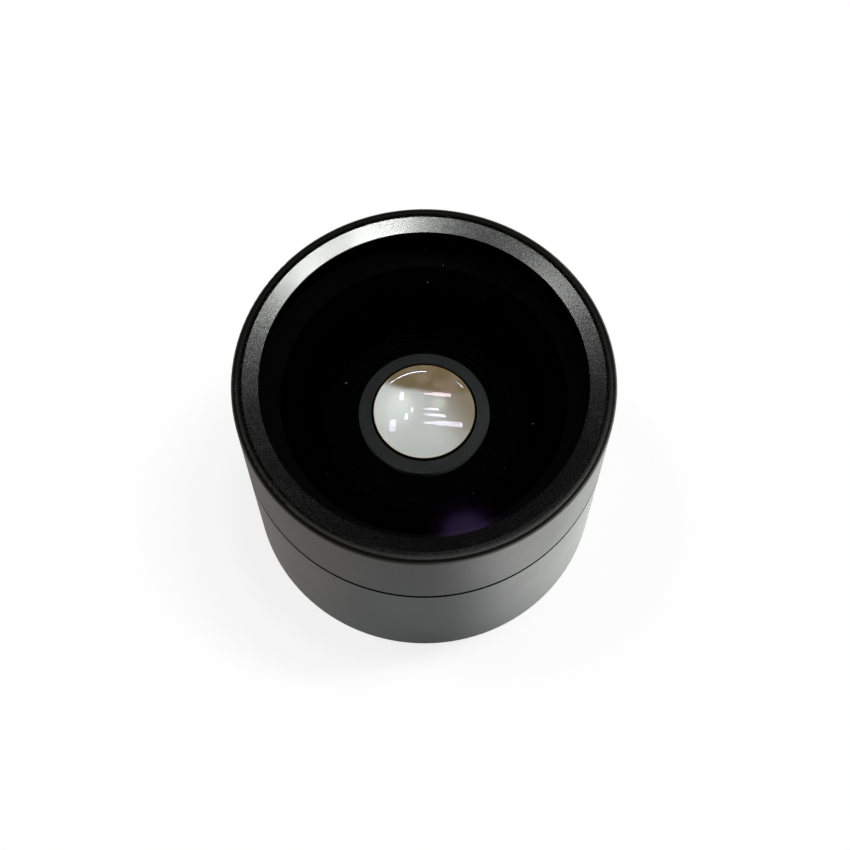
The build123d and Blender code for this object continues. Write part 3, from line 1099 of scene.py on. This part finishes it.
@dataclass
class Studio:
    """The pale floor, the surroundings, the lamps and the camera.

    The floor shows itself in three ways: white to the camera, with painted light brighter on the right
    and a painted tint from side to side in what the wall and the rim mirror, and with painted shade like
    the room's in what the lenses show. Each painted patch of light in that shade has its place, its inner
    and its outer radius, in millimetres, and its colour.
    """

    rim_height: float = 31.992 * MM
    floor_size: float = 3.0
    camera_distance: float = 0.17492
    camera_elevation: float = math.radians(66.81)
    view_pitch: float = math.radians(68.40)
    view_yaw: float = math.radians(0.064)
    view_roll: float = math.radians(0.265)
    focal_px: float = 1693.3
    frame_px: float = 850.0
    lamps: tuple[Lamp, ...] = (
        Lamp("key_lamp", (0.09, 0.05), (0.1, 0.095), 24.0, shape=LampShape.ELLIPSE, spares_glass=False),
        Lamp("strip_thin", (0.13, 0.215), (0.26, 0.035), 6.5),
        Lamp("strip_wide", (0.36, 0.11), (0.3, 0.09), 15.5),
        Lamp("small_window", (-0.37, 0.13), (0.13, 0.13), 11.0),
        Lamp("edge_long", (0.3, -0.4), (0.7, 0.3), 110.0, only="doublet_highlight_bead"),
        Lamp("edge_short", (-0.44, -0.42), (0.1, 0.14), 900.0, only="doublet_highlight_bead"),
        Lamp("strip_thin_ghost", (0.13, 0.215), (0.26, 0.035), 12.0, Role.GHOST),
        Lamp("strip_wide_ghost", (0.35, 0.215), (0.38, 0.07), 12.0, Role.GHOST),
        Lamp("small_window_ghost", (-0.44, 0.205), (0.095, 0.17), 7.5, Role.GHOST),
    )
    paper: Colour = (0.8, 0.8, 0.8)
    camera_glow: float = 0.83
    camera_glow_far: float = 0.2
    # in mirrors: an even glow, with painted light added on the right and the far left, and a painted tint
    # by side
    mirror_glow: float = 0.32
    painted_light_right: float = 1.15
    painted_light_left: float = 0.05
    painted_tint_middle: Colour = (0.975, 1.0, 0.995)
    painted_tint_right: Colour = (0.98, 1.0, 0.975)
    painted_tint_left: Colour = (1.0, 0.96, 0.9)
    # painted shade and light, seen only through the lenses
    painted_shade_far: Colour = (0.79, 0.77, 0.77)
    painted_shade_near: Colour = (0.68, 0.68, 0.68)
    painted_shade_side: Colour = (0.36, 0.28, 0.21)
    painted_brown_dark: Colour = (0.25, 0.178, 0.09)
    painted_brown_pale: Colour = (0.35, 0.245, 0.165)
    painted_light_pools: tuple[tuple[float, float, float, float, Colour], ...] = (
        (-3.0, 5.0, 0.3, 3.3, (1.05, 1.05, 1.04)),
        (-2.7, 5.9, 0.2, 1.6, (1.16, 1.16, 1.12)),
        (1.6, 5.6, 0.2, 1.3, (0.88, 0.87, 0.8)),
    )
    world_overhead: float = 0.006
    world_horizon: float = 0.4
    world_horizon_right: float = 0.25

    def paint_shade_seen_through(self, g: Graph, x: Value, y: Value) -> bpy.types.NodeSocket:
        """Paints light and shade on the floor, seen only through the lenses.

        The near part is a painted grey shade and the right side painted darker, with painted round
        patches of light over both. A painted brown band of shade with soft blots lies beyond them.

        Args:
            g: the floor's graph.
            x: the place across the floor.
            y: the place away from the camera.

        Returns:
            The shade.
        """
        # painted shade: the right side darker, and the near part darker than the far
        side = (x + y * 0.5).step(2.2 * MM, 7.6 * MM)
        near = g.mix(y.step(2.2 * MM, -0.3 * MM), self.painted_shade_far, self.painted_shade_near)
        shade = g.mix(side, near, self.painted_shade_side)
        # painted light: round patches brighter than the shade about them
        for cx, cy, inner, outer, tint in self.painted_light_pools:
            dx, dy = x - cx * MM, y - cy * MM
            shade = g.mix((dx * dx + dy * dy).root().step(outer * MM, inner * MM), shade, tint)
        # painted shade: a brown band with soft blots beyond the patches
        brown = g.mix(g.noise(1.8, detail=1.0).step(0.4, 0.6), self.painted_brown_dark, self.painted_brown_pale)
        return g.mix((y + x * 0.1).step(6.75 * MM, 7.55 * MM), shade, brown)

    def build_floor(self) -> bpy.types.Object:
        """Lays a pale floor that is white to the camera and keeps the part's shadow.

        Returns:
            The floor.
        """
        s = self.floor_size / 2
        corners = np.array([[-s, -s, 0.0], [s, -s, 0.0], [s, s, 0.0], [-s, s, 0.0]])
        floor = build_mesh("floor", corners, np.array([[0, 1, 2, 3]]), smooth=False)
        material, g = new_material("pale_floor")
        seen = g.path("Is Camera Ray")
        through = g.path("Is Transmission Ray")
        mirrored = g.path("Is Glossy Ray") * (1.0 - through)
        x, y, _ = g.axes(g.coordinates())
        shade = self.paint_shade_seen_through(g, x, y)
        # painted light: in mirrors the floor glows brighter on the right and a little on the far left,
        # warmer on the left
        right = x.step(2.0 * MM, 22.0 * MM)
        left = x.step(-8.0 * MM, -20.0 * MM)
        far = (x * x + y * y).root().step(0.1, 0.8)
        tone = g.mix(left, g.mix(right, self.painted_tint_middle, self.painted_tint_right), self.painted_tint_left)
        # white to the camera, the painted tint in mirrors, the painted shade through the lenses
        colour = g.mix(through, g.mix(mirrored, (1.0, 1.0, 1.0), tone), shade)
        to_camera = self.camera_glow + far * self.camera_glow_far
        mirror_glow_and_painted_light = self.mirror_glow + right * self.painted_light_right + left * self.painted_light_left
        strength = seen * to_camera + through + mirrored * mirror_glow_and_painted_light
        paper = g.node("ShaderNodeBsdfDiffuse", {}, {"Color": self.paper})
        glow = g.node("ShaderNodeEmission", {}, {"Color": colour, "Strength": strength})
        g.finish(g.node("ShaderNodeAddShader", {}, {0: paper, 1: glow}))
        dress(floor, material)
        return floor

    def build_surroundings(self) -> None:
        """Sets a world that is white to the camera, pale near the horizon and dim overhead."""
        world = bpy.data.worlds.new("studio")
        bpy.context.scene.world = world
        g = Graph(world)
        x, y, z = g.axes(g.coordinates("Generated"))
        pale = z.step(0.35, 0.0) * y.step(0.5, -0.2)
        through = g.path("Is Transmission Ray")
        horizon = pale * (self.world_horizon + x * self.world_horizon_right)
        tone = (self.world_overhead + horizon) * (1.0 - through)
        seen = g.path("Is Camera Ray")
        strength = tone + seen * (1.0 - tone)
        shader = g.node("ShaderNodeBackground", {}, {"Color": (1.0, 1.0, 1.0), "Strength": strength})
        g.node("ShaderNodeOutputWorld", {}, {"Surface": shader})

    def build_camera(self) -> bpy.types.Object:
        """Places the camera as it stood for the photograph.

        Returns:
            The camera, set as the scene's.
        """
        rim = Vector((0.0, 0.0, self.rim_height))
        away = Vector((0.0, -math.cos(self.camera_elevation), math.sin(self.camera_elevation)))
        look = Vector(
            (
                math.sin(self.view_yaw) * math.cos(self.view_pitch),
                math.cos(self.view_yaw) * math.cos(self.view_pitch),
                -math.sin(self.view_pitch),
            )
        )
        level = look.cross(Vector((0.0, 0.0, 1.0))).normalized()
        rise = level.cross(look)
        c, s = math.cos(self.view_roll), math.sin(self.view_roll)
        across, upward = c * level - s * rise, s * level + c * rise
        place = Matrix((across, upward, -look)).transposed().to_4x4()
        place.translation = rim + away * self.camera_distance
        data = bpy.data.cameras.new("camera")
        data.sensor_width = 36.0
        data.lens = self.focal_px / self.frame_px * data.sensor_width
        data.clip_start = 0.01
        camera = bpy.data.objects.new("camera", data)
        camera.matrix_world = place
        bpy.context.scene.collection.objects.link(camera)
        bpy.context.scene.camera = camera
        return camera

    def build(self) -> None:
        """Makes the floor, the surroundings, the lamps and the camera."""
        self.build_floor()
        self.build_surroundings()
        aim = Vector((0.0, 0.0, self.rim_height))
        for lamp in self.lamps:
            lamp.build(aim)
        self.build_camera()
        bpy.context.scene.view_settings.view_transform = "Standard"


def main() -> None:
    """Builds the part's looks and the studio, and reports each piece."""
    logging.basicConfig(level=logging.INFO, format="%(name)s: %(message)s")
    for group in (Barrel(), FrontGroup(), LensCell()):
        for piece in group.build():
            LOG.info("%s: %s", type(group).__name__, piece.name)
    Studio().build()


if __name__ == "__main__":
    main()
